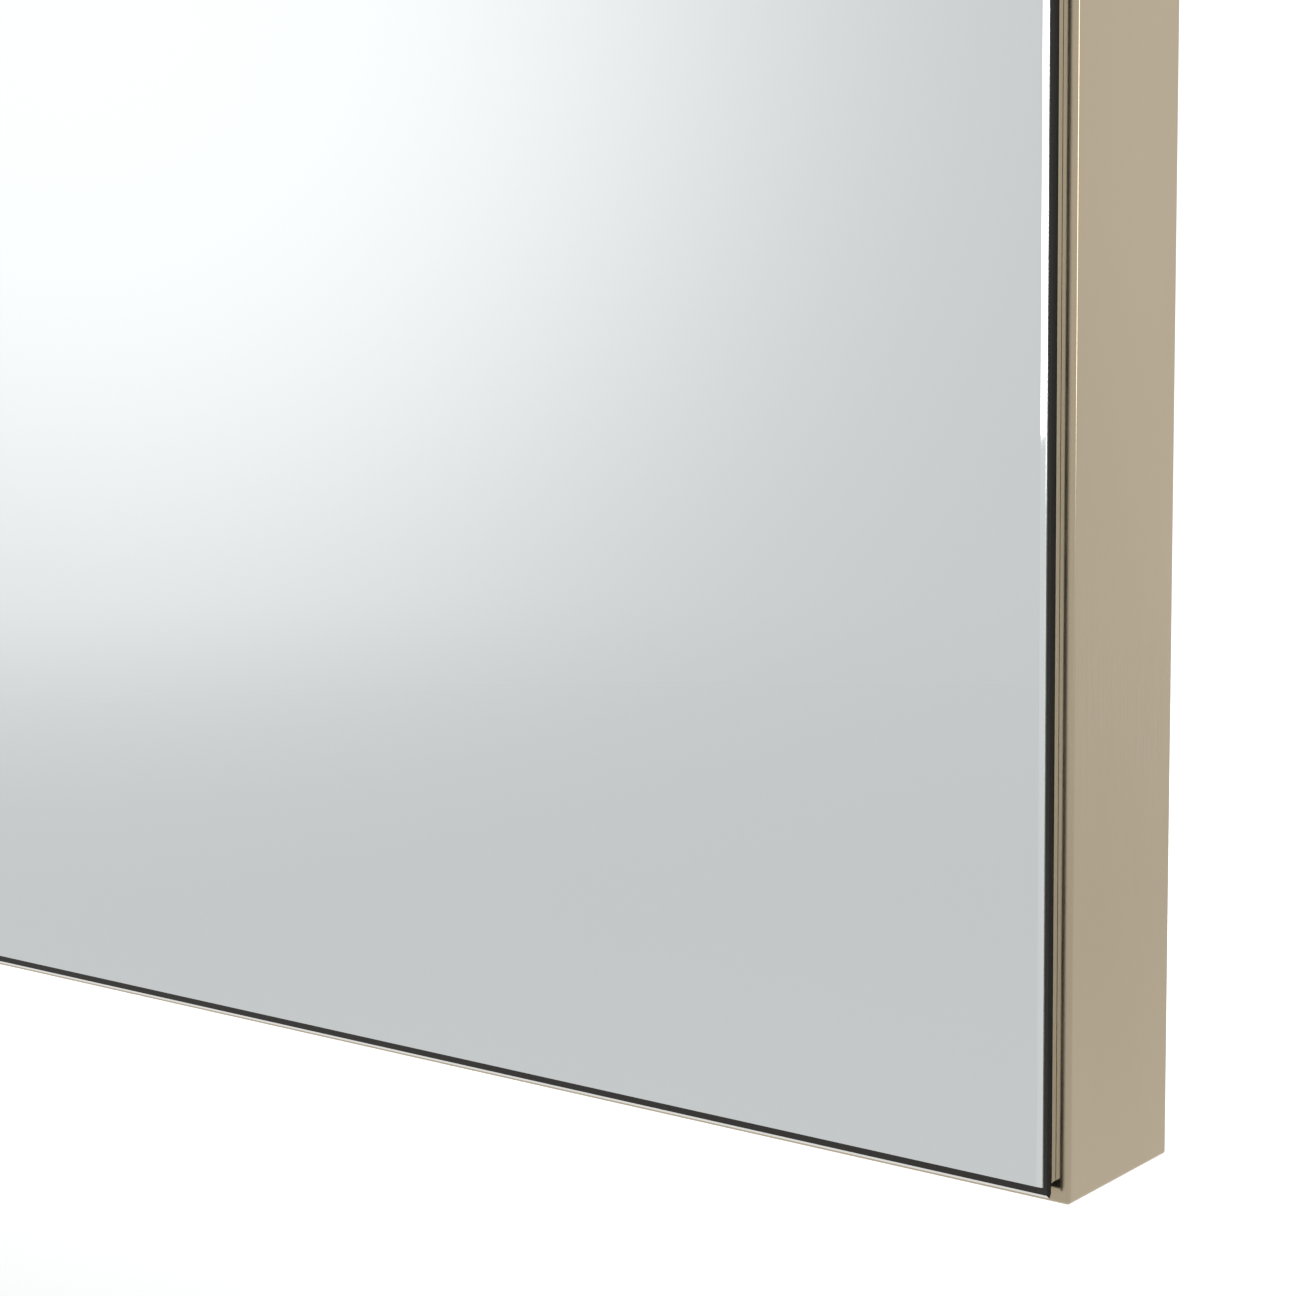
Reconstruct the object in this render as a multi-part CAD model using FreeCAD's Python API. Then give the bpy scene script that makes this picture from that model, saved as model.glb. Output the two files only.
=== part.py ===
import FreeCAD, Part
import os

os.makedirs("parts", exist_ok=True)

# Wall-hung medicine cabinet with one overlay mirror door, hinged on its left.
# +Z is up, the door faces -Y and the origin is the centre of the wall face.

# ---------------------------------------------------------------- driving dimensions, mm
case_width = 610.0
case_height = 762.0
case_depth = 68.0
case_sheet = 1.5
front_flange = 20.0
flange_lip = 8.0
side_rear_flange = 15.0
end_rear_flange = 51.0
case_corner_radius = 1.5

rim_shown_side = 5.5
rim_shown_end = 3.0
lip_gap = 0.2
door_sheet = 0.8
pan_end_inset = 4.5
tape_thickness = 0.4
board_thickness = 2.6
board_arris_side = 0.2
board_arris_end = 1.3
board_rear_arris_height = 1.5
board_rear_arris_depth = 1.0
board_margin_side = 1.5
board_margin_end = 3.9
glass_thickness = 3.0
bevel_width = 1.1

leaf_thickness = 0.8
leaf_gap = 0.3
barrel_radius = 2.0
pin_radius = 1.2
running_clearance = 0.05
knuckle_count = 31
knuckle_gap = 0.3
hinge_length = 740.0

wall_hole_radius = 3.5
wall_hole_spacing_x = 406.4
wall_hole_spacing_z = 700.0

slot_pitch = 25.0
shelf_slot_heights = {"lower": -200.0, "middle": 0.0, "upper": 200.0}
shelf_thickness = 5.0

catch_height = -100.0
magnet_travel = 1.0
body_gap = 0.3

# ---------------------------------------------------------------- sizes worked out from them
half_width = case_width / 2
half_height = case_height / 2
case_front = -case_depth
inner_half_width = half_width - case_sheet
inner_half_height = half_height - case_sheet
opening_half_width = half_width - front_flange
opening_half_height = half_height - front_flange

door_half_width = half_width - rim_shown_side
door_half_height = half_height - rim_shown_end
leaf_front_case = case_front - leaf_thickness
leaf_rear_door = leaf_front_case - leaf_gap
pan_rear = leaf_rear_door - leaf_thickness
pan_front = pan_rear - door_sheet
board_rear = pan_front - tape_thickness
glass_rear = board_rear - board_thickness
glass_front = glass_rear - glass_thickness

hinge_inset = 2.5
hinge_stand_off = 0.4
hinge_x = -half_width + hinge_inset
hinge_y = case_front - barrel_radius - hinge_stand_off


def vector(x, y, z):
    return FreeCAD.Vector(x, y, z)


def block(x_limits, y_limits, z_limits):
    low = vector(min(x_limits), min(y_limits), min(z_limits))
    sizes = [abs(pair[1] - pair[0]) for pair in (x_limits, y_limits, z_limits)]
    return Part.makeBox(sizes[0], sizes[1], sizes[2], low)


def rod_y(x, z, radius, y_start, y_end):
    low = min(y_start, y_end)
    return Part.makeCylinder(radius, abs(y_end - y_start), vector(x, low, z), vector(0, 1, 0))


def rod_z(x, y, radius, z_start, z_end):
    return Part.makeCylinder(radius, z_end - z_start, vector(x, y, z_start), vector(0, 0, 1))


def prism(points, direction):
    """A solid swept along direction from a closed outline of 3-D points."""
    outline = Part.makePolygon([vector(*point) for point in points + [points[0]]])
    return Part.Face(outline).extrude(vector(*direction))


def edges_where(shape, test):
    """The straight edges whose two end points both pass the test."""
    return [edge for edge in shape.Edges if all(test(vertex.Point) for vertex in edge.Vertexes)]


def near(value, target):
    return abs(value - target) < 1e-4


def edges_along_y(shape):
    """The straight edges that run front to back."""
    return [edge for edge in shape.Edges if near(abs(edge.tangentAt(edge.FirstParameter).y), 1)]


def rim_at(shape, y):
    """The edges whose ends all lie in the plane at depth y."""
    return [edge for edge in shape.Edges if all(near(vertex.Point.y, y) for vertex in edge.Vertexes)]


def dome_head(x, z, radius, height, y_seat, towards):
    """A low rivet head on the plane y_seat, standing out along towards (+1 or -1) in Y."""
    ball_radius = (radius * radius + height * height) / (2 * height)
    centre_y = y_seat + towards * (height - ball_radius)
    ball = Part.makeSphere(ball_radius, vector(x, centre_y, z))
    return ball.common(rod_y(x, z, radius + 1, y_seat, y_seat + towards * (height + 1)))


def save(name, solids):
    """Writes one node: a single solid, or a group of separate solids."""
    shape = solids[0] if len(solids) == 1 else Part.makeCompound(solids)
    for solid in solids:
        if not solid.isValid() or solid.Volume <= 0:
            raise ValueError(name + " has a bad solid")
    shape.exportStep("parts/" + name + ".step")


def single(shape):
    """The one solid inside a boolean result."""
    if len(shape.Solids) != 1:
        raise ValueError("expected one solid, found " + str(len(shape.Solids)))
    return shape.Solids[0]


# ---------------------------------------------------------------- case: four folded panels
bend_radius = 1.0
mitre_reach = end_rear_flange + 10


def rounded_envelope():
    """The case's outside form, with its front and corner edges rounded."""
    form = block((-half_width, half_width), (0, case_front), (-half_height, half_height))
    wall_edges = edges_where(form, lambda p: near(p.y, 0))
    kept = [edge for edge in form.Edges if not any(edge.isSame(wall) for wall in wall_edges)]
    return form.makeFillet(case_corner_radius, kept)


def folded_outline(rear_flange):
    """Panel section as (distance in from the outside face, depth from the wall)."""
    return [
        (rear_flange, 0),
        (0, 0),
        (0, case_depth),
        (front_flange, case_depth),
        (front_flange, case_depth - flange_lip),
        (front_flange - case_sheet, case_depth - flange_lip),
        (front_flange - case_sheet, case_depth - case_sheet),
        (case_sheet, case_depth - case_sheet),
        (case_sheet, case_sheet),
        (rear_flange, case_sheet),
    ]


def side_panel(side):
    """Left (-1) or right (+1) panel, mitred at both ends."""
    points = [(side * (half_width - u), -v, -half_height) for u, v in folded_outline(side_rear_flange)]
    panel = prism(points, (0, 0, case_height))
    lip_x = side * opening_half_width
    bend = edges_where(panel, lambda p: near(p.x, lip_x) and near(p.y, case_front))
    panel = panel.makeFillet(bend_radius, bend)
    wedge = prism(
        [
            (side * half_width, 1, -half_height),
            (side * half_width, 1, half_height),
            (side * (half_width - mitre_reach), 1, half_height - mitre_reach),
            (side * (half_width - mitre_reach), 1, -half_height + mitre_reach),
        ],
        (0, -case_depth - 2, 0),
    )
    return single(panel.common(wedge).common(envelope))


def end_panel(side):
    """Bottom (-1) or top (+1) panel, mitred at both ends and drilled for the wall screws."""
    points = [(-half_width, -v, side * (half_height - u)) for u, v in folded_outline(end_rear_flange)]
    panel = prism(points, (case_width, 0, 0))
    lip_z = side * opening_half_height
    bend = edges_where(panel, lambda p: near(p.z, lip_z) and near(p.y, case_front))
    panel = panel.makeFillet(bend_radius, bend)
    wedge = prism(
        [
            (-half_width, 1, side * half_height),
            (half_width, 1, side * half_height),
            (half_width - mitre_reach, 1, side * (half_height - mitre_reach)),
            (-half_width + mitre_reach, 1, side * (half_height - mitre_reach)),
        ],
        (0, -case_depth - 2, 0),
    )
    return single(panel.common(wedge).common(envelope).cut(wall_holes()))


def wall_holes():
    return [
        rod_y(sx * wall_hole_spacing_x / 2, sz * wall_hole_spacing_z / 2, wall_hole_radius, 1, -10)
        for sx in (-1, 1)
        for sz in (-1, 1)
    ]


# Rivets that hold the back panel to the rear flanges.
back_panel_sheet = 1.0
back_inside = -case_sheet - back_panel_sheet
back_panel_play = 0.2
rivet_play = 0.02
back_rivet_radius = 1.6
back_rivet_head_radius = 3.2
back_rivet_head_height = 1.1
back_rivet_inset = 8.5
back_rivet_side_heights = (-300.0, -100.0, 100.0, 300.0)
back_rivet_end_places = (-200.0, 0.0, 200.0)
back_rivet_places = [
    (side * (half_width - back_rivet_inset), z) for side in (-1, 1) for z in back_rivet_side_heights
]
back_rivet_places += [
    (x, side * (half_height - back_rivet_inset)) for side in (-1, 1) for x in back_rivet_end_places
]


def back_rivet_holes():
    return [rod_y(x, z, back_rivet_radius + rivet_play, 1, -4) for x, z in back_rivet_places]


def back_rivet(x, z):
    shank = rod_y(x, z, back_rivet_radius, 0, back_inside)
    head = dome_head(x, z, back_rivet_head_radius, back_rivet_head_height, back_inside, -1)
    return single(shank.fuse(head))


# Rivets that hold the hinge's case leaf to the left front flange.
leaf_inner_x = -287.0
case_rivet_x = -291.0
hinge_rivet_radius = 1.5
hinge_rivet_pitch = 100.0
case_rivet_head_radius = 2.8
case_rivet_head_height = 1.0
case_rivet_heights = [-350.0 + hinge_rivet_pitch * i for i in range(8)]


def case_rivet_holes():
    radius = hinge_rivet_radius + rivet_play
    return [rod_y(case_rivet_x, z, radius, -60, -75) for z in case_rivet_heights]


def case_rivet(z):
    inside = case_front + case_sheet
    shank = rod_y(case_rivet_x, z, hinge_rivet_radius, leaf_front_case, inside)
    head = dome_head(case_rivet_x, z, case_rivet_head_radius, case_rivet_head_height, inside, 1)
    return single(shank.fuse(head))


envelope = rounded_envelope()
left_cuts = back_rivet_holes() + case_rivet_holes()
save("case_side_left", [single(side_panel(-1).cut(left_cuts))])
save("case_side_right", [single(side_panel(1).cut(back_rivet_holes()))])
save("case_top", [single(end_panel(1).cut(back_rivet_holes()))])
save("case_bottom", [single(end_panel(-1).cut(back_rivet_holes()))])

back_half_width = inner_half_width - back_panel_play
back_half_height = inner_half_height - back_panel_play
back_panel = block(
    (-back_half_width, back_half_width),
    (-case_sheet, back_inside),
    (-back_half_height, back_half_height),
)
save("back_panel", [single(back_panel.cut(wall_holes() + back_rivet_holes()))])
save("back_rivets", [back_rivet(x, z) for x, z in back_rivet_places])

# ---------------------------------------------------------------- hanging rails inside the back
rail_thickness = 3.0
rail_half_length = 270.0
rail_half_height = 16.0
rail_corner_radius = 4.0
rail_edge_radius = 0.6


def mount_rail(side):
    z_middle = side * wall_hole_spacing_z / 2
    rail = block(
        (-rail_half_length, rail_half_length),
        (back_inside, back_inside - rail_thickness),
        (z_middle - rail_half_height, z_middle + rail_half_height),
    )
    rail = rail.makeFillet(rail_corner_radius, edges_along_y(rail))
    face_edges = rim_at(rail, back_inside - rail_thickness)
    return single(rail.makeFillet(rail_edge_radius, face_edges).cut(wall_holes()))


save("mount_rail_upper", [mount_rail(1)])
save("mount_rail_lower", [mount_rail(-1)])

# ---------------------------------------------------------------- corner brackets
bracket_leg = 36.0
bracket_sheet = 2.0
bracket_web = 3.0
bracket_y = (-22.0, -40.0)


def corner_bracket(sx, sz):
    x_wall = inner_half_width
    z_wall = inner_half_height
    outline = [
        (x_wall, z_wall),
        (x_wall, z_wall - bracket_leg),
        (x_wall - bracket_sheet, z_wall - bracket_leg),
        (x_wall - bracket_sheet, z_wall - bracket_sheet - bracket_web),
        (x_wall - bracket_sheet - bracket_web, z_wall - bracket_sheet),
        (x_wall - bracket_leg, z_wall - bracket_sheet),
        (x_wall - bracket_leg, z_wall),
    ]
    points = [(sx * x, bracket_y[0], sz * z) for x, z in outline]
    return prism(points, (0, bracket_y[1] - bracket_y[0], 0))


save("corner_brackets", [corner_bracket(sx, sz) for sx in (-1, 1) for sz in (-1, 1)])

# ---------------------------------------------------------------- slotted shelf standards
standard_depth = 5.0
standard_width = 12.0
standard_sheet = 1.0
standard_half_length = 335.0
standard_edge_radius = 0.9
slot_width = 3.4
slot_height = 8.0
slot_end_margin = 10.0
standard_middle_y = {"rear": -14.0, "front": -48.0}


def shelf_standard(side, middle_y):
    """A channel open towards the side wall, with a ladder of slots in its web."""
    x_wall = side * inner_half_width
    x_face = side * (inner_half_width - standard_depth)
    x_under = side * (inner_half_width - standard_depth + standard_sheet)
    y_near = middle_y + standard_width / 2
    y_far = middle_y - standard_width / 2
    z_span = (-standard_half_length, standard_half_length)
    channel = block((x_wall, x_face), (y_near, y_far), z_span)
    long_edges = edges_where(channel, lambda p: near(p.x, x_face))
    long_edges = [edge for edge in long_edges if edge.Length > standard_half_length]
    channel = channel.makeFillet(standard_edge_radius, long_edges)
    hollow = block((x_wall + side, x_under), (y_near - standard_sheet, y_far + standard_sheet), z_span)
    steps = int((standard_half_length - slot_end_margin) // slot_pitch)
    slots = [
        block(
            (x_face - side, x_under + side),
            (middle_y - slot_width / 2, middle_y + slot_width / 2),
            (k * slot_pitch - slot_height / 2, k * slot_pitch + slot_height / 2),
        )
        for k in range(-steps, steps + 1)
    ]
    return single(channel.cut([hollow] + slots))


for side_name, side in (("left", -1), ("right", 1)):
    for depth_name, middle_y in standard_middle_y.items():
        save("shelf_standard_" + depth_name + "_" + side_name, [shelf_standard(side, middle_y)])

# ---------------------------------------------------------------- shelf clips and glass shelves
clip_sheet = 3.0
clip_tab_top = 4.5
clip_tab_bottom = 2.9
clip_tab_half_width = 5.0
clip_tab_reach = (5.1, 16.0)


def shelf_clip(side, middle_y, slot_z):
    """A hook through the slot, a gusset below it and a flat tab that the shelf lies on."""
    outline = [
        (1.8, -5.9),
        (1.8, 1.3),
        (5.1, 1.3),
        (5.1, 3.0),
        (15.0, 3.0),
        (15.0, 1.6),
        (7.2, -9.0),
        (5.1, -9.0),
        (5.1, -3.9),
        (3.7, -3.9),
        (3.7, -5.9),
    ]
    y_start = middle_y - clip_sheet / 2
    points = [(side * (inner_half_width - u), y_start, slot_z + w) for u, w in outline]
    plate = prism(points, (0, clip_sheet, 0))
    tab = block(
        [side * (inner_half_width - reach) for reach in clip_tab_reach],
        (middle_y - clip_tab_half_width, middle_y + clip_tab_half_width),
        (slot_z + clip_tab_bottom, slot_z + clip_tab_top),
    )
    return single(plate.fuse(tab).removeSplitter())


shelf_half_length = inner_half_width - standard_depth - 1.0
shelf_y = (-4.0, -56.5)
shelf_corner_radius = 4.0
shelf_chamfer = 0.6


def glass_shelf(slot_z):
    low = slot_z + clip_tab_top
    plate = block((-shelf_half_length, shelf_half_length), shelf_y, (low, low + shelf_thickness))
    corners = [edge for edge in plate.Edges if near(abs(edge.tangentAt(edge.FirstParameter).z), 1)]
    plate = plate.makeFillet(shelf_corner_radius, corners)
    rims = [edge for edge in plate.Edges if len({round(v.Point.z, 3) for v in edge.Vertexes}) == 1]
    return single(plate.makeChamfer(shelf_chamfer, rims))


for level, slot_z in shelf_slot_heights.items():
    clips = [shelf_clip(side, y, slot_z) for side in (-1, 1) for y in standard_middle_y.values()]
    save("shelf_clips_" + level, clips)
    save("glass_shelf_" + level, [glass_shelf(slot_z)])

# ---------------------------------------------------------------- continuous hinge
knuckle_pitch = hinge_length / knuckle_count
knuckle_notch_play = 0.5
leaf_door_inner_x = -284.0


def knuckle_span(index):
    low = -hinge_length / 2 + index * knuckle_pitch
    return (low + knuckle_gap / 2, low + knuckle_pitch - knuckle_gap / 2)


def hinge_leaf(own_parity, y_limits, inner_x, bore_radius):
    """A flat leaf with every second knuckle, notched where the other leaf's knuckles turn."""
    half = hinge_length / 2
    leaf = block((hinge_x, inner_x), y_limits, (-half + knuckle_gap / 2, half - knuckle_gap / 2))
    own = [knuckle_span(i) for i in range(knuckle_count) if i % 2 == own_parity]
    other = [knuckle_span(i) for i in range(knuckle_count) if i % 2 != own_parity]
    notches = [
        block(
            (hinge_x - 5, hinge_x + barrel_radius + knuckle_notch_play),
            (hinge_y - 5, hinge_y + 5),
            (low - knuckle_gap, high + knuckle_gap),
        )
        for low, high in other
    ]
    leaf = leaf.cut(notches)
    barrels = [rod_z(hinge_x, hinge_y, barrel_radius, low, high) for low, high in own]
    leaf = leaf.fuse(barrels)
    bore = rod_z(hinge_x, hinge_y, bore_radius, -half - 1, half + 1)
    return leaf.cut(bore)


door_rivet_x = -290.0
door_rivet_heights = [-300.0 + hinge_rivet_pitch * i for i in range(7)]


def door_rivet_holes():
    radius = hinge_rivet_radius + rivet_play
    return [rod_y(door_rivet_x, z, radius, -60, -75) for z in door_rivet_heights]


def door_rivet(z):
    return rod_y(door_rivet_x, z, hinge_rivet_radius, leaf_rear_door, pan_front)


case_leaf = hinge_leaf(0, (case_front, leaf_front_case), leaf_inner_x, pin_radius)
door_leaf = hinge_leaf(1, (leaf_rear_door, pan_rear), leaf_door_inner_x, pin_radius + running_clearance)
save("hinge_leaf_case", [single(case_leaf.cut(case_rivet_holes()))])
save("hinge_leaf_door", [single(door_leaf.cut(door_rivet_holes()))])
save("hinge_pin", [rod_z(hinge_x, hinge_y, pin_radius, -hinge_length / 2, hinge_length / 2)])
save("hinge_rivets_case", [case_rivet(z) for z in case_rivet_heights])
save("hinge_rivets_door", [door_rivet(z) for z in door_rivet_heights])

# ---------------------------------------------------------------- door pan, with a lip on three sides
liner_half_width = 274.0
liner_half_height = 350.0
liner_flange = 8.0
liner_depth = 9.0
liner_rear = case_front + liner_depth
liner_rivet_radius = 1.6
liner_rivet_offset = 4.5
liner_rivet_side_heights = (-320.0, -190.0, -60.0, 60.0, 190.0, 320.0)
liner_rivet_end_places = (-225.0, -75.0, 75.0, 225.0)
liner_rivet_places = [
    (side * (liner_half_width + liner_rivet_offset), z)
    for side in (-1, 1)
    for z in liner_rivet_side_heights
]
liner_rivet_places += [
    (x, side * (liner_half_height + liner_rivet_offset))
    for side in (-1, 1)
    for x in liner_rivet_end_places
]


def liner_rivet_holes():
    radius = liner_rivet_radius + rivet_play
    return [rod_y(x, z, radius, -60, -75) for x, z in liner_rivet_places]


pan_half_height = door_half_height - pan_end_inset
pan_corner_radius = 1.5


def door_pan():
    """A shallow tray, shorter than the board in front of it so that the board can be gripped."""
    lip_rear = case_front - lip_gap
    tray = block(
        (-door_half_width, door_half_width),
        (lip_rear, pan_front),
        (-pan_half_height, pan_half_height),
    )
    corners = [edge for edge in edges_along_y(tray) if edge.Vertexes[0].Point.x > 0]
    tray = tray.makeFillet(pan_corner_radius, corners)
    hollow = block(
        (-door_half_width - 1, door_half_width - door_sheet),
        (lip_rear + 1, pan_rear),
        (-pan_half_height + door_sheet, pan_half_height - door_sheet),
    )
    hinge_end = block(
        (-door_half_width - 1, -door_half_width + 1),
        (lip_rear + 1, pan_rear),
        (-pan_half_height - 1, pan_half_height + 1),
    )
    tray = tray.cut([hollow, hinge_end])
    return single(tray.cut(door_rivet_holes() + liner_rivet_holes()))


save("door_pan", [door_pan()])

# ---------------------------------------------------------------- door liner, stiffeners and strike
strike_x = 262.0
strike_size = (20.0, 1.2, 32.0)
strike_front = liner_rear + strike_size[1]
strike_rivet_offset = 11.5
strike_rivet_heights = [catch_height - strike_rivet_offset, catch_height + strike_rivet_offset]
strike_rivet_radius = 1.5
strike_corner_radius = 2.0


def strike_rivet_holes():
    radius = strike_rivet_radius + rivet_play
    return [rod_y(strike_x, z, radius, -50, -65) for z in strike_rivet_heights]


liner_corner_radius = 14.0
liner_rim_radius = 2.5


def liner_block(inset, rear, front):
    """A plate with rounded corners, inset all round from the liner's outside."""
    half_x = liner_half_width - inset
    half_z = liner_half_height - inset
    plate = block((-half_x, half_x), (rear, front), (-half_z, half_z))
    return plate.makeFillet(liner_corner_radius - max(inset, 0), edges_along_y(plate))


def door_liner():
    """A shallow tray that closes the back of the door, with a flange that lies on the pan."""
    outer = liner_block(0, liner_rear, pan_rear)
    outer = outer.makeFillet(liner_rim_radius, rim_at(outer, liner_rear))
    inner = liner_block(door_sheet, liner_rear - door_sheet, pan_rear - 2)
    inner = inner.makeFillet(liner_rim_radius - door_sheet, rim_at(inner, liner_rear - door_sheet))
    flange = liner_block(-liner_flange, pan_rear, pan_rear + door_sheet)
    holes = liner_rivet_holes() + strike_rivet_holes()
    return single(flange.fuse(outer).cut([inner] + holes))


liner_rivet_head_radius = 2.9
liner_rivet_head_height = 1.0


def liner_rivet(x, z):
    seat = pan_rear + door_sheet
    shank = rod_y(x, z, liner_rivet_radius, pan_front, seat)
    head = dome_head(x, z, liner_rivet_head_radius, liner_rivet_head_height, seat, 1)
    return single(shank.fuse(head))


save("door_liner", [door_liner()])
save("liner_rivets", [liner_rivet(x, z) for x, z in liner_rivet_places])

stiffener_width = 36.0
stiffener_half_length = 330.0
stiffener_x = 110.0


def door_stiffener(x_middle):
    """A channel between pan and liner that keeps the door flat."""
    front = pan_rear
    rear = liner_rear - door_sheet
    x_span = (x_middle - stiffener_width / 2, x_middle + stiffener_width / 2)
    z_span = (-stiffener_half_length, stiffener_half_length)
    bar = block(x_span, (front, rear), z_span)
    x_inside = (x_span[0] + door_sheet, x_span[1] - door_sheet)
    hollow = block(x_inside, (front - 1, rear - door_sheet), z_span)
    return single(bar.cut(hollow))


save("door_stiffener_left", [door_stiffener(-stiffener_x)])
save("door_stiffener_right", [door_stiffener(stiffener_x)])

strike = block(
    (strike_x - strike_size[0] / 2, strike_x + strike_size[0] / 2),
    (liner_rear, strike_front),
    (catch_height - strike_size[2] / 2, catch_height + strike_size[2] / 2),
)
strike = strike.makeFillet(strike_corner_radius, edges_along_y(strike))
save("strike_plate", [single(strike.cut(strike_rivet_holes()))])


strike_rivet_head_radius = 2.6
strike_rivet_head_height = 1.0


def strike_rivet(z):
    inside = liner_rear - door_sheet
    shank = rod_y(strike_x, z, strike_rivet_radius, strike_front, inside)
    head = dome_head(strike_x, z, strike_rivet_head_radius, strike_rivet_head_height, inside, -1)
    return single(shank.fuse(head))


save("strike_rivets", [strike_rivet(z) for z in strike_rivet_heights])

# ---------------------------------------------------------------- backing board, mirror glass and tape
def rectangle_wire(inset_side, inset_end, y):
    x = door_half_width - inset_side
    z = door_half_height - inset_end
    corners = [(-x, y, -z), (x, y, -z), (x, y, z), (-x, y, z)]
    return Part.makePolygon([vector(*corner) for corner in corners + [corners[0]]])


def lofted(sections):
    """A plate whose rim follows (inset at the sides, inset at top and bottom, depth) sections."""
    return single(Part.makeLoft([rectangle_wire(*section) for section in sections], True, True))


board = lofted(
    [
        (0, board_rear_arris_height, board_rear),
        (0, 0, board_rear - board_rear_arris_depth),
        (0, 0, glass_rear + board_arris_end),
        (board_arris_side, board_arris_end, glass_rear),
    ]
)
mirror = lofted(
    [
        (board_margin_side, board_margin_end, glass_rear),
        (board_margin_side + bevel_width, board_margin_end + bevel_width, glass_front),
    ]
)
save("backing_board", [board])
save("mirror_glass", [mirror])

tape_upright_places = (-265.0, -90.0, 90.0, 265.0)
tape_half_width_upright = 12.0
tape_half_length_upright = 340.0
tape_level_height = 358.0
tape_half_width_level = 10.0
tape_half_length_level = 277.0


def tape_strip(x, z, half_x, half_z):
    return block((x - half_x, x + half_x), (pan_front, board_rear), (z - half_z, z + half_z))


tape_strips = [
    tape_strip(x, 0, tape_half_width_upright, tape_half_length_upright) for x in tape_upright_places
]
tape_strips += [
    tape_strip(0, side * tape_level_height, tape_half_length_level, tape_half_width_level)
    for side in (-1, 1)
]
save("mirror_tape", tape_strips)

# ---------------------------------------------------------------- rubber bumpers on the rim
bumper_radius = 4.0
bumper_edge_radius = 0.7
bumper_x = 291.0
bumper_heights = (-340.0, -120.0, 120.0, 340.0)


def door_bumper(z):
    face = pan_rear + body_gap
    pad = rod_y(bumper_x, z, bumper_radius, case_front, face)
    return single(pad.makeFillet(bumper_edge_radius, rim_at(pad, face)))


save("door_bumpers", [door_bumper(z) for z in bumper_heights])

# ---------------------------------------------------------------- magnetic catch
catch_x = 262.0
housing_half_width = 7.0
housing_half_height = 9.5
housing_rear = -41.0
housing_wall = 1.7
housing_edge_radius = 1.0
pole_front = strike_front + body_gap
pole_show = 0.5
housing_front = pole_front + pole_show
front_wall_inside = housing_front + housing_wall
ear_half_height = 17.0
ear_thickness = 3.0
catch_screw_offset = 13.5
catch_screw_heights = [catch_height - catch_screw_offset, catch_height + catch_screw_offset]
screw_radius = 1.45
screw_head_radius = 2.6
screw_head_height = 1.8
screw_head_rounding = 0.8
recess_half_length = 1.5
recess_half_width = 0.3
recess_depth = 0.9
pole_sheet = 1.5
magnet_half_width = 3.0
pole_half_height = 7.5
nose_half_height = 5.5
pole_rear = housing_rear - magnet_travel - body_gap
arm_sheet = 1.5
arm_rear = housing_rear + arm_sheet
arm_end_x = 250.0
bracket_base_rear = -24.0
magnet_play = 0.4


def catch_screw_holes():
    return [rod_y(catch_x, z, screw_radius + rivet_play, -60, -20) for z in catch_screw_heights]


def catch_bracket():
    z_span = (catch_height - ear_half_height, catch_height + ear_half_height)
    arm = block((arm_end_x, inner_half_width), (housing_rear, arm_rear), z_span)
    base_x = (inner_half_width - arm_sheet, inner_half_width)
    base = block(base_x, (housing_rear, bracket_base_rear), z_span)
    bracket = arm.fuse(base).removeSplitter()
    return single(bracket.cut(catch_screw_holes()))


def pole_x(side):
    near_x = catch_x + side * magnet_half_width
    return (near_x, near_x + side * pole_sheet)


def grown(limits, amount):
    return (min(limits) - amount, max(limits) + amount)


def catch_housing():
    """A plastic body with two ears, hollow for the magnet and slotted for the pole noses."""
    body_x = (catch_x - housing_half_width, catch_x + housing_half_width)
    body_z = (catch_height - housing_half_height, catch_height + housing_half_height)
    body = block(body_x, (housing_front, housing_rear), body_z)
    body = body.makeFillet(housing_edge_radius, rim_at(body, housing_front))
    ears_z = (catch_height - ear_half_height, catch_height + ear_half_height)
    ears = block(body_x, (housing_rear - ear_thickness, housing_rear), ears_z)
    cavity = block(
        grown((pole_x(-1)[1], pole_x(1)[1]), body_gap),
        (front_wall_inside, housing_rear + 1),
        grown((catch_height - pole_half_height, catch_height + pole_half_height), body_gap),
    )
    nose_slots = [
        block(
            grown(pole_x(side), body_gap),
            (housing_front - 1, front_wall_inside + 1),
            grown((catch_height - nose_half_height, catch_height + nose_half_height), body_gap),
        )
        for side in (-1, 1)
    ]
    solid = body.fuse(ears).removeSplitter()
    return single(solid.cut([cavity] + nose_slots + catch_screw_holes()))


def catch_screw(z):
    """A pan-head screw with a cross recess."""
    seat = housing_rear - ear_thickness
    crown = seat - screw_head_height
    shank = rod_y(catch_x, z, screw_radius, seat, arm_rear + arm_sheet)
    head = rod_y(catch_x, z, screw_head_radius, seat, crown)
    head = head.makeFillet(screw_head_rounding, rim_at(head, crown))
    long_side = recess_half_length
    short_side = recess_half_width
    recess = [
        block(
            (catch_x - half_x, catch_x + half_x),
            (crown - 1, crown + recess_depth),
            (z - half_z, z + half_z),
        )
        for half_x, half_z in ((long_side, short_side), (short_side, long_side))
    ]
    return single(shank.fuse(head).cut(recess))


def pole_plate(side):
    """A steel plate with a narrower nose, whose shoulders stay behind the housing's front wall."""
    shoulder = front_wall_inside + body_gap
    wide_z = (catch_height - pole_half_height, catch_height + pole_half_height)
    nose_z = (catch_height - nose_half_height, catch_height + nose_half_height)
    wide = block(pole_x(side), (shoulder, pole_rear), wide_z)
    nose = block(pole_x(side), (pole_front, shoulder), nose_z)
    return single(wide.fuse(nose).removeSplitter())


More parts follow.
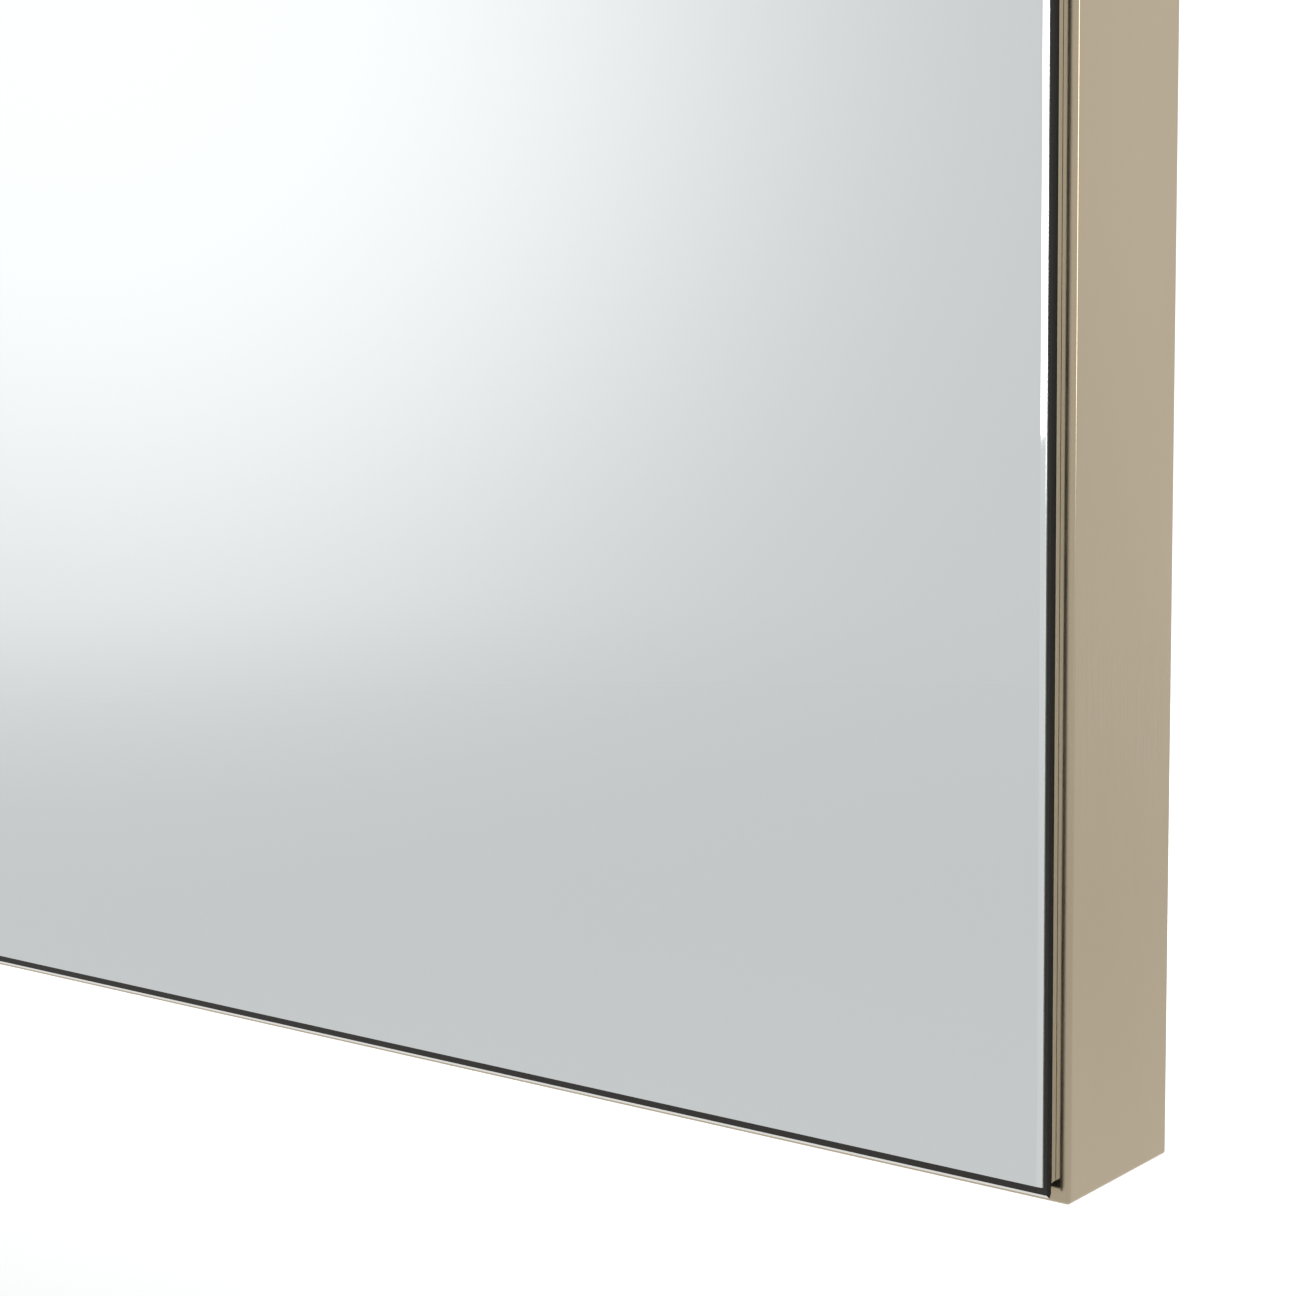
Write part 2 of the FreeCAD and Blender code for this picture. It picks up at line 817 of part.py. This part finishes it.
magnet = block(
    (catch_x - magnet_half_width, catch_x + magnet_half_width),
    (front_wall_inside + body_gap + magnet_play, pole_rear),
    (catch_height - pole_half_height, catch_height + pole_half_height),
)
save("catch_bracket", [catch_bracket()])
save("catch_housing", [catch_housing()])
save("catch_screws", [catch_screw(z) for z in catch_screw_heights])
save("magnet_block", [magnet])
save("magnet_pole_plates", [pole_plate(side) for side in (-1, 1)])
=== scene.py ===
import math

import bmesh
import bpy
from mathutils import Euler, Matrix, Vector


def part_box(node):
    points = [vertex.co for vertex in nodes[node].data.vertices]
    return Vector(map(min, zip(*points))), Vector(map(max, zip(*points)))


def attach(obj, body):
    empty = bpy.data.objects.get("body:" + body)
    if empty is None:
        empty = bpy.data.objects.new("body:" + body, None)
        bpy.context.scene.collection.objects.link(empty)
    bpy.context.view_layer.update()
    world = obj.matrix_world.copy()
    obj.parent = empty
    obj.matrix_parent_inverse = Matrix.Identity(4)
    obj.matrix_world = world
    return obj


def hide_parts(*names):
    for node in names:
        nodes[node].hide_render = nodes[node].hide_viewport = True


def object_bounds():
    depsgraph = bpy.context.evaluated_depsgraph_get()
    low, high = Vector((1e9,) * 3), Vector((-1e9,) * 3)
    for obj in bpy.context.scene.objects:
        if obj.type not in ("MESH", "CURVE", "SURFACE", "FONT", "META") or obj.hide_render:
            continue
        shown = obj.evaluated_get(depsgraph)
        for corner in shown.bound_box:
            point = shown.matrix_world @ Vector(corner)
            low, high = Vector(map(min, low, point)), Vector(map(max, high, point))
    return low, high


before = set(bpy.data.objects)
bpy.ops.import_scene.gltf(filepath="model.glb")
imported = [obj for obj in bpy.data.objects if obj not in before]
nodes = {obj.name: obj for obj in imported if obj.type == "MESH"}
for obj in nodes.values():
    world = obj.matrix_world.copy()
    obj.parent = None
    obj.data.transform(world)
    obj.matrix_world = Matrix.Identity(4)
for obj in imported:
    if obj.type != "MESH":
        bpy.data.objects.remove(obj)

MM = 0.001
cad_low, cad_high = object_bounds()
scene = bpy.context.scene
scene.view_settings.view_transform = "Standard"


# ---------------------------------------------------------------- node helpers
MIX_FACTOR, MIX_A, MIX_B, MIX_RESULT = 0, 6, 7, 2


class Shader:
    """A material with one Principled shader, and short calls for the nodes that feed it."""

    def __init__(self, name, **sockets):
        self.material = bpy.data.materials.new(name)
        self.material.use_nodes = True
        self.tree = self.material.node_tree
        self.main = self.tree.nodes["Principled BSDF"]
        for key, value in sockets.items():
            self.main.inputs[key.replace("_", " ")].default_value = value
        self.place = self.tree.nodes.new("ShaderNodeTexCoord").outputs["Object"]

    def node(self, kind, **settings):
        made = self.tree.nodes.new(kind)
        for key, value in settings.items():
            setattr(made, key, value)
        return made

    def link(self, source, target):
        self.tree.links.new(source, target)

    def stretched(self, scale):
        """The object's own coordinates in metres, scaled by axis."""
        mapping = self.node("ShaderNodeMapping")
        mapping.inputs["Scale"].default_value = scale
        self.link(self.place, mapping.inputs["Vector"])
        return mapping.outputs["Vector"]

    def noise(self, scale, size=1.0, detail=3.0, roughness=0.5):
        made = self.node("ShaderNodeTexNoise")
        made.inputs["Scale"].default_value = size
        made.inputs["Detail"].default_value = detail
        made.inputs["Roughness"].default_value = roughness
        self.link(self.stretched(scale), made.inputs["Vector"])
        return made.outputs["Fac"]

    def ramp(self, source, low, high, out_low, out_high):
        """source between low and high, mapped to out_low..out_high."""
        made = self.node("ShaderNodeMapRange")
        for key, value in (
            ("From Min", low),
            ("From Max", high),
            ("To Min", out_low),
            ("To Max", out_high),
        ):
            made.inputs[key].default_value = value
        self.link(source, made.inputs["Value"])
        return made.outputs["Result"]

    def mixed(self, factor, colour_a, colour_b):
        made = self.node("ShaderNodeMix", data_type="RGBA")
        for socket, colour in ((made.inputs[MIX_A], colour_a), (made.inputs[MIX_B], colour_b)):
            if hasattr(colour, "is_output"):
                self.link(colour, socket)
            else:
                socket.default_value = (*colour, 1.0)
        self.link(factor, made.inputs[MIX_FACTOR])
        return made.outputs[MIX_RESULT]

    def product(self, first, second):
        made = self.node("ShaderNodeMath", operation="MULTIPLY")
        self.link(first, made.inputs[0])
        if hasattr(second, "is_output"):
            self.link(second, made.inputs[1])
        else:
            made.inputs[1].default_value = second
        return made.outputs[0]

    def total(self, first, second):
        made = self.node("ShaderNodeMath", operation="ADD")
        self.link(first, made.inputs[0])
        self.link(second, made.inputs[1])
        return made.outputs[0]

    def colour(self, source):
        self.link(source, self.main.inputs["Base Color"])

    def rough(self, source):
        self.link(source, self.main.inputs["Roughness"])

    def bump(self, height, strength, distance):
        made = self.node("ShaderNodeBump")
        made.inputs["Strength"].default_value = strength
        made.inputs["Distance"].default_value = distance
        self.link(height, made.inputs["Height"])
        self.link(made.outputs["Normal"], self.main.inputs["Normal"])


# ---------------------------------------------------------------- materials
SCUFF_RANGE = (0.62, 0.78)
SCUFF_ROUGHNESS = 0.08
GRAIN_LIGHTENING = 0.35


def satin_metal(name, colour, grain, roughness=(0.15, 0.21), depth=0.00001, tone=0.05):
    """Brushed or anodised metal: fine grain along one axis, slow tone drift and faint scuffs."""
    shader = Shader(name, Metallic=1.0)
    fine = shader.noise(grain, 1.0, 4.0, 0.6)
    drift = shader.noise((5.0, 5.0, 3.0), 1.0, 2.0)
    scuffs = shader.noise((60.0, 60.0, 45.0), 1.0, 6.0, 0.75)
    scuff_mask = shader.ramp(scuffs, *SCUFF_RANGE, 0.0, 1.0)
    dark = tuple(c * (1 - tone) for c in colour)
    light = tuple(min(1.0, c * (1 + tone)) for c in colour)
    toned = shader.mixed(shader.ramp(drift, 0.3, 0.7, 0.0, 1.0), dark, light)
    grained = shader.mixed(shader.ramp(fine, 0.35, 0.65, 0.0, GRAIN_LIGHTENING), toned, light)
    shader.colour(grained)
    base = shader.ramp(fine, 0.3, 0.7, roughness[0], roughness[1])
    shader.rough(shader.total(base, shader.product(scuff_mask, SCUFF_ROUGHNESS)))
    shader.bump(fine, 0.25, depth)
    return shader.material


CHAMPAGNE = (0.550, 0.455, 0.325)
STEEL_GRAIN = (1200.0, 1200.0, 25.0)
ZINC_GRAIN = (160.0, 160.0, 160.0)
RIVET_GRAIN = (400.0, 400.0, 400.0)
champagne_upright = satin_metal("champagne_upright", CHAMPAGNE, (1500.0, 1500.0, 30.0))
champagne_level = satin_metal("champagne_level", CHAMPAGNE, (30.0, 1500.0, 1500.0))
stainless_upright = satin_metal("stainless_upright", (0.62, 0.61, 0.59), STEEL_GRAIN, (0.2, 0.32))
pale_steel = satin_metal("pale_steel", (0.84, 0.84, 0.80), STEEL_GRAIN, (0.18, 0.28))
zinc = satin_metal("zinc_plate", (0.55, 0.57, 0.60), ZINC_GRAIN, (0.3, 0.5), 0.00004, 0.12)
rivet_metal = satin_metal("rivet_metal", (0.64, 0.62, 0.58), RIVET_GRAIN, (0.25, 0.4))


def mirror_silver():
    """Silvered float glass seen from the front: a clean cool mirror with the faintest waviness."""
    shader = Shader("mirror_silver", Metallic=1.0, Roughness=0.012)
    drift = shader.noise((2.0, 2.0, 2.0), 1.0, 1.0)
    shader.colour(shader.mixed(drift, (0.800, 0.826, 0.832), (0.806, 0.830, 0.834)))
    shader.rough(shader.ramp(shader.noise((25.0, 25.0, 25.0), 1.0, 5.0), 0.4, 0.8, 0.008, 0.022))
    return shader.material


def bevel_silver():
    """The polished bevel: the same silver behind thinner glass, so a touch clearer."""
    shader = Shader("bevel_silver", Metallic=1.0, Roughness=0.02)
    drift = shader.noise((12.0, 12.0, 12.0), 1.0, 3.0)
    shader.colour(shader.mixed(drift, (0.860, 0.885, 0.885), (0.870, 0.895, 0.890)))
    shader.rough(shader.ramp(shader.noise((700.0, 700.0, 60.0)), 0.3, 0.7, 0.015, 0.04))
    return shader.material


def ground_rim():
    """Outer part of the bevel, ground but not polished: paler and faintly green."""
    shader = Shader("mirror_rim", Metallic=1.0)
    lines = shader.noise((700.0, 700.0, 60.0), 1.0, 3.0, 0.6)
    shader.colour(shader.mixed(lines, (0.88, 0.93, 0.89), (0.92, 0.96, 0.92)))
    shader.rough(shader.ramp(lines, 0.3, 0.7, 0.10, 0.20))
    return shader.material


def black_board(name, tint, roughness, specular):
    """Black board: sealed, with fine fibres and faint rub marks."""
    shader = Shader(name, IOR=1.5, Specular_IOR_Level=specular)
    fibres = shader.noise((900.0, 900.0, 200.0), 1.0, 4.0, 0.65)
    worn = tuple(1.5 * c for c in tint)
    shader.colour(shader.mixed(shader.ramp(fibres, 0.3, 0.7, 0.0, 1.0), tint, worn))
    shader.rough(shader.ramp(fibres, 0.3, 0.7, roughness, roughness + 0.15))
    shader.bump(fibres, 0.2, 0.00001)
    return shader.material


def mirror_back():
    """Grey backing paint on the rear of the mirror."""
    shader = Shader("mirror_back_paint", Roughness=0.6)
    orange_peel = shader.noise((900.0, 900.0, 900.0), 1.0, 3.0)
    shader.colour(shader.mixed(orange_peel, (0.20, 0.22, 0.24), (0.25, 0.27, 0.29)))
    shader.bump(orange_peel, 0.2, 0.00005)
    return shader.material


def shelf_glass():
    shader = Shader("shelf_glass", IOR=1.52, Transmission_Weight=1.0)
    drift = shader.noise((6.0, 6.0, 6.0), 1.0, 2.0)
    shader.colour(shader.mixed(drift, (0.93, 0.975, 0.955), (0.945, 0.98, 0.965)))
    shader.rough(shader.ramp(shader.noise((45.0, 45.0, 45.0), 1.0, 5.0), 0.5, 0.8, 0.0, 0.03))
    return shader.material


def shelf_edge():
    """Ground edge of the shelf glass: green and slightly frosted."""
    shader = Shader("shelf_edge", IOR=1.52, Transmission_Weight=0.55)
    lines = shader.noise((300.0, 2500.0, 2500.0), 1.0, 3.0)
    shader.colour(shader.mixed(lines, (0.33, 0.60, 0.50), (0.42, 0.70, 0.60)))
    shader.rough(shader.ramp(lines, 0.3, 0.7, 0.18, 0.32))
    shader.bump(lines, 0.15, 0.00002)
    return shader.material


def moulded_plastic(name, colour):
    shader = Shader(name, Roughness=0.45)
    grain = shader.noise((1800.0, 1800.0, 1800.0), 1.0, 4.0)
    drift = shader.noise((40.0, 40.0, 40.0), 1.0, 2.0)
    shader.colour(shader.mixed(drift, colour, tuple(0.9 * c for c in colour)))
    shader.rough(shader.ramp(grain, 0.3, 0.7, 0.36, 0.52))
    shader.bump(grain, 0.3, 0.00004)
    return shader.material


def rubber():
    shader = Shader("bumper_rubber", Roughness=0.7)
    grain = shader.noise((1400.0, 1400.0, 1400.0), 1.0, 5.0)
    shader.colour(shader.mixed(grain, (0.015, 0.015, 0.016), (0.045, 0.045, 0.046)))
    shader.rough(shader.ramp(grain, 0.3, 0.7, 0.6, 0.85))
    shader.bump(grain, 0.4, 0.00006)
    return shader.material


def ferrite():
    shader = Shader("ferrite", Roughness=0.75)
    grain = shader.noise((2200.0, 2200.0, 2200.0), 1.0, 6.0, 0.7)
    shader.colour(shader.mixed(grain, (0.02, 0.02, 0.022), (0.06, 0.06, 0.065)))
    shader.rough(shader.ramp(grain, 0.3, 0.7, 0.6, 0.85))
    shader.bump(grain, 0.5, 0.00008)
    return shader.material


def foam_tape():
    shader = Shader("foam_tape", Roughness=0.9)
    cells = shader.node("ShaderNodeTexVoronoi")
    cells.inputs["Scale"].default_value = 3000.0
    shader.link(shader.place, cells.inputs["Vector"])
    shader.colour(shader.mixed(cells.outputs["Distance"], (0.62, 0.62, 0.60), (0.80, 0.80, 0.78)))
    shader.bump(cells.outputs["Distance"], 0.5, 0.0001)
    return shader.material


# ---------------------------------------------------------------- finishes on carried-over nodes
FINISH = {
    "case_side_left": champagne_upright,
    "case_side_right": champagne_upright,
    "case_top": champagne_level,
    "case_bottom": champagne_level,
    "back_panel": champagne_upright,
    "door_pan": pale_steel,
    "door_liner": champagne_upright,
    "door_stiffener_left": zinc,
    "door_stiffener_right": zinc,
    "mount_rail_upper": zinc,
    "mount_rail_lower": zinc,
    "corner_brackets": zinc,
    "hinge_leaf_case": stainless_upright,
    "hinge_leaf_door": stainless_upright,
    "hinge_pin": stainless_upright,
    "strike_plate": stainless_upright,
    "magnet_pole_plates": zinc,
    "catch_bracket": zinc,
    "catch_screws": zinc,
    "back_rivets": rivet_metal,
    "hinge_rivets_case": rivet_metal,
    "hinge_rivets_door": rivet_metal,
    "liner_rivets": rivet_metal,
    "strike_rivets": rivet_metal,
    "door_bumpers": rubber(),
    "catch_housing": moulded_plastic("catch_plastic", (0.78, 0.78, 0.75)),
    "magnet_block": ferrite(),
    "mirror_tape": foam_tape(),
}
for side in ("left", "right"):
    for depth in ("front", "rear"):
        FINISH[f"shelf_standard_{depth}_{side}"] = stainless_upright
for level in ("lower", "middle", "upper"):
    FINISH[f"shelf_clips_{level}"] = zinc

for name, material in FINISH.items():
    data = nodes[name].data
    for index in range(len(data.materials)):
        data.materials[index] = material
    if not data.materials:
        data.materials.append(material)


# ---------------------------------------------------------------- bevelled mirror on its black board
def piece_from(mesh_name, build, materials):
    """An object whose mesh is filled in by build, with one slot per material."""
    bm = bmesh.new()
    build(bm)
    bmesh.ops.recalc_face_normals(bm, faces=bm.faces)
    data = bpy.data.meshes.new(mesh_name)
    bm.to_mesh(data)
    bm.free()
    for material in materials:
        data.materials.append(material)
    made = bpy.data.objects.new(mesh_name, data)
    scene.collection.objects.link(made)
    return made


def build_plate(bm, low, high, sections, front_slot):
    """Nested rectangles from rear to front.

    Each section is (inset at the sides, inset at top and bottom, depth y, slot of the side bands in
    front of it, slot of the top and bottom bands in front of it).
    """
    centre_x, centre_z = (low.x + high.x) / 2, (low.z + high.z) / 2
    half_x, half_z = (high.x - low.x) / 2, (high.z - low.z) / 2
    rings = []
    for inset_side, inset_end, y, _, _ in sections:
        x, z = half_x - inset_side, half_z - inset_end
        corners = ((-x, -z), (x, -z), (x, z), (-x, z))
        rings.append([bm.verts.new((centre_x + cx, y, centre_z + cz)) for cx, cz in corners])
    for (inner, outer), section in zip(zip(rings, rings[1:]), sections):
        for corner in range(4):
            after = (corner + 1) % 4
            quad = bm.faces.new((inner[corner], inner[after], outer[after], outer[corner]))
            quad.material_index = section[3] if corner % 2 else section[4]
    bm.faces.new(rings[0]).material_index = BACK
    bm.faces.new(rings[-1]).material_index = front_slot


BACK, RIM, BEVEL, FACE = range(4)
BEVEL_WIDTH = 1.1 * MM
GROUND_SHARE = 0.3


def build_mirror(bm):
    low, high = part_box("mirror_glass")
    depth = high.y - low.y
    ground = GROUND_SHARE * BEVEL_WIDTH
    sections = [
        (0.0, 0.0, high.y, RIM, RIM),
        (ground, ground, high.y - GROUND_SHARE * depth, BEVEL, BEVEL),
        (BEVEL_WIDTH, BEVEL_WIDTH, low.y, FACE, FACE),
    ]
    build_plate(bm, low, high, sections, FACE)


mirror = piece_from(
    "bevelled_mirror",
    build_mirror,
    [mirror_back(), ground_rim(), bevel_silver(), mirror_silver()],
)
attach(mirror, "door")
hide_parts("mirror_glass")

SIDE, LEDGE, HIGHLIGHT_BAND_SLOT = 1, 2, 3
BOARD_ARRIS_SIDE = 0.2 * MM
BOARD_ARRIS_END = 1.3 * MM
REAR_ARRIS_HEIGHT = 1.5 * MM
REAR_ARRIS_DEPTH = 1.0 * MM


def build_board(bm):
    low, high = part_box("backing_board")
    sections = [
        (0.0, REAR_ARRIS_HEIGHT, high.y, SIDE, HIGHLIGHT_BAND_SLOT),
        (0.0, 0.0, high.y - REAR_ARRIS_DEPTH, SIDE, HIGHLIGHT_BAND_SLOT),
        (0.0, 0.0, low.y + BOARD_ARRIS_END, SIDE, HIGHLIGHT_BAND_SLOT),
        (BOARD_ARRIS_SIDE, BOARD_ARRIS_END, low.y, LEDGE, LEDGE),
    ]
    build_plate(bm, low, high, sections, LEDGE)


# The board's sides take a darker, duller copy of the black finish than the front ledge: painted
# shade on the sides.
board_side = black_board("board_side", (0.004, 0.004, 0.0035), 0.45, 0.25)
board_ledge = black_board("board_ledge", (0.014, 0.0115, 0.008), 0.28, 0.45)
# The board's top and bottom ends take a pale polished metal band that stands in for the thin bright
# line of light under the mirror's lower edge: a painted highlight.
highlight_band_metal = satin_metal("highlight_band_finish", (0.86, 0.85, 0.82), (60.0, 900.0, 900.0), (0.08, 0.14))
board = piece_from("door_board", build_board, [board_side, board_side, board_ledge, highlight_band_metal])
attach(board, "door")
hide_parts("backing_board")


# ---------------------------------------------------------------- glass shelves with ground edges
def rounded_outline(low, high, radius, steps=8):
    """Points round a rectangle with rounded corners, in X and Y."""
    points = []
    for sx, sy, start in ((1, 1, 0), (-1, 1, 90), (-1, -1, 180), (1, -1, 270)):
        centre_x = (high.x - radius) if sx > 0 else (low.x + radius)
        centre_y = (high.y - radius) if sy > 0 else (low.y + radius)
        for step in range(steps + 1):
            angle = math.radians(start + 90 * step / steps)
            x = centre_x + radius * math.cos(angle)
            points.append((x, centre_y + radius * math.sin(angle)))
    return points


SHELF_CORNER = 4.0 * MM
SHELF_CHAMFER = 0.6 * MM
SHELF_GLASS, SHELF_EDGE = 0, 1


def build_shelf(level):
    def build(bm):
        low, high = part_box(f"glass_shelf_{level}")
        inward = Vector((SHELF_CHAMFER, SHELF_CHAMFER, 0))
        inner = rounded_outline(low + inward, high - inward, SHELF_CORNER - SHELF_CHAMFER)
        outer = rounded_outline(low, high, SHELF_CORNER)
        layers = [
            (inner, low.z),
            (outer, low.z + SHELF_CHAMFER),
            (outer, high.z - SHELF_CHAMFER),
            (inner, high.z),
        ]
        rings = [[bm.verts.new((x, y, z)) for x, y in points] for points, z in layers]
        count = len(rings[0])
        for below, above in zip(rings, rings[1:]):
            for i in range(count):
                after = (i + 1) % count
                quad = bm.faces.new((below[i], below[after], above[after], above[i]))
                quad.material_index = SHELF_EDGE
        bm.faces.new(rings[0]).material_index = SHELF_GLASS
        bm.faces.new(rings[-1]).material_index = SHELF_GLASS

    return build


clear_material = shelf_glass()
ground_material = shelf_edge()
for level in ("lower", "middle", "upper"):
    shelf = piece_from(f"shelf_pane_{level}", build_shelf(level), [clear_material, ground_material])
    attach(shelf, "case")
    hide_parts(f"glass_shelf_{level}")


# ---------------------------------------------------------------- floor
FLOOR_DROP = 0.55
FLOOR_SOLID_RADIUS = 1.9
FLOOR_FADE_RADIUS = 4.6
FLOOR_MARGIN = 0.4
floor_z = cad_low.z - FLOOR_DROP


def build_floor(bm):
    half = FLOOR_FADE_RADIUS + FLOOR_MARGIN
    corners = ((-half, -half), (half, -half), (half, half), (-half, half))
    bm.faces.new([bm.verts.new((x, y, floor_z)) for x, y in corners])


def pale_floor():
    """Plain pale floor whose rim melts into the studio surroundings."""
    shader = Shader("pale_floor", Roughness=0.9, Specular_IOR_Level=0.0)
    grain = shader.noise((2.0, 2.0, 2.0), 1.0, 2.0)
    shader.colour(shader.mixed(grain, (0.805, 0.805, 0.803), (0.815, 0.813, 0.810)))
    flat = shader.node("ShaderNodeVectorMath", operation="MULTIPLY")
    flat.inputs[1].default_value = (1.0, 1.0, 0.0)
    shader.link(shader.place, flat.inputs[0])
    reach = shader.node("ShaderNodeVectorMath", operation="LENGTH")
    shader.link(flat.outputs[0], reach.inputs[0])
    fade = shader.node("ShaderNodeMapRange", interpolation_type="SMOOTHSTEP")
    for key, value in (
        ("From Min", FLOOR_SOLID_RADIUS),
        ("From Max", FLOOR_FADE_RADIUS),
        ("To Min", 1.0),
        ("To Max", 0.0),
    ):
        fade.inputs[key].default_value = value
    shader.link(reach.outputs["Value"], fade.inputs["Value"])
    shader.link(fade.outputs["Result"], shader.main.inputs["Alpha"])
    return shader.material


floor = piece_from("floor", build_floor, [pale_floor()])


# ---------------------------------------------------------------- studio surroundings
def heading(left_of_forward, rise):
    """Unit direction: degrees left of straight ahead (-Y), and degrees above the horizon."""
    turn, lift = math.radians(left_of_forward), math.radians(rise)
    return (-math.sin(turn) * math.cos(lift), -math.cos(turn) * math.cos(lift), math.sin(lift))


SURROUND_GREY = (0.700, 0.711, 0.715, 1.0)
BACKDROP_EXTRA = 0.50
BACKDROP_HEADING = heading(140.0, 0.0)
BACKDROP_INNER = math.radians(42.0)
BACKDROP_OUTER = math.radians(78.0)
GLOW_EXTRA = 0.535
GLOW_HEADING = heading(46.7, 0.6)
GLOW_WIDTH = math.radians(11.1)
GLOW_FALLOFF = 2.91

world = bpy.data.worlds.new("studio")
scene.world = world
world.use_nodes = True
tree = world.node_tree
direction = tree.nodes.new("ShaderNodeTexCoord").outputs["Generated"]


def world_math(operation, first, second=None):
    made = tree.nodes.new("ShaderNodeMath")
    made.operation = operation
    tree.links.new(first, made.inputs[0])
    if second is not None:
        if hasattr(second, "is_output"):
            tree.links.new(second, made.inputs[1])
        else:
            made.inputs[1].default_value = second
    return made.outputs[0]


def angle_cosine(towards):
    made = tree.nodes.new("ShaderNodeVectorMath")
    made.operation = "DOT_PRODUCT"
    made.inputs[1].default_value = towards
    tree.links.new(direction, made.inputs[0])
    return made.outputs["Value"]


cap = tree.nodes.new("ShaderNodeMapRange")
cap.interpolation_type = "SMOOTHSTEP"
cap.inputs["From Min"].default_value = math.cos(BACKDROP_OUTER)
cap.inputs["From Max"].default_value = math.cos(BACKDROP_INNER)
cap.inputs["To Max"].default_value = BACKDROP_EXTRA
tree.links.new(angle_cosine(BACKDROP_HEADING), cap.inputs["Value"])

spread = world_math("DIVIDE", world_math("ARCCOSINE", angle_cosine(GLOW_HEADING)), GLOW_WIDTH)
falloff = world_math("MULTIPLY", world_math("POWER", spread, GLOW_FALLOFF), -1.0)
glow = world_math("MULTIPLY", world_math("EXPONENT", falloff), GLOW_EXTRA)
extra = world_math("ADD", cap.outputs["Result"], glow)

surround = tree.nodes["Background"]
surround.inputs["Color"].default_value = SURROUND_GREY
surround.inputs["Strength"].default_value = 1.0
extra_light = tree.nodes.new("ShaderNodeBackground")
extra_light.inputs["Color"].default_value = (1.0, 1.0, 1.0, 1.0)
tree.links.new(extra, extra_light.inputs["Strength"])
joined = tree.nodes.new("ShaderNodeAddShader")
tree.links.new(surround.outputs[0], joined.inputs[0])
tree.links.new(extra_light.outputs[0], joined.inputs[1])
tree.links.new(joined.outputs[0], tree.nodes["World Output"].inputs["Surface"])


# ---------------------------------------------------------------- lights
def soft_light(name, place, target, size, power, colour=(1.0, 1.0, 1.0)):
    """A rectangular lamp at place, turned to target, that the camera doesn't see."""
    lamp = bpy.data.lights.new(name, "AREA")
    lamp.shape = "RECTANGLE"
    lamp.size, lamp.size_y = size
    lamp.energy = power
    lamp.color = colour
    holder = bpy.data.objects.new(name, lamp)
    holder.location = place
    holder.rotation_euler = (Vector(target) - Vector(place)).to_track_quat("-Z", "Y").to_euler()
    holder.visible_camera = False
    scene.collection.objects.link(holder)


WARM_WHITE = (1.0, 0.99, 0.97)
soft_light("rear_wash", (-1.2, 2.3, floor_z + 1.6), (-1.2, 2.3, floor_z), (2.0, 1.6), 40.0)
soft_light("right_panel", (1.72, 0.41, 0.38), (0.3, -0.07, 0.38), (0.5, 1.35), 6.0, WARM_WHITE)


# ---------------------------------------------------------------- camera
CAMERA_PLACE = Vector((0.8978, -1.0758, 0.0355))
CAMERA_TURN = 37.56
CAMERA_TILT = 10.52
CAMERA_ROLL = -0.87
LENS = 96.57
SENSOR_WIDTH = 36.0

camera_data = bpy.data.cameras.new("camera")
camera_data.lens = LENS
camera_data.sensor_width = SENSOR_WIDTH
camera = bpy.data.objects.new("camera", camera_data)
scene.collection.objects.link(camera)
camera.location = CAMERA_PLACE
aim = Euler((math.radians(90.0 - CAMERA_TILT), 0.0, math.radians(CAMERA_TURN))).to_matrix()
camera.rotation_euler = (aim @ Matrix.Rotation(math.radians(CAMERA_ROLL), 3, "Z")).to_euler()
scene.camera = camera
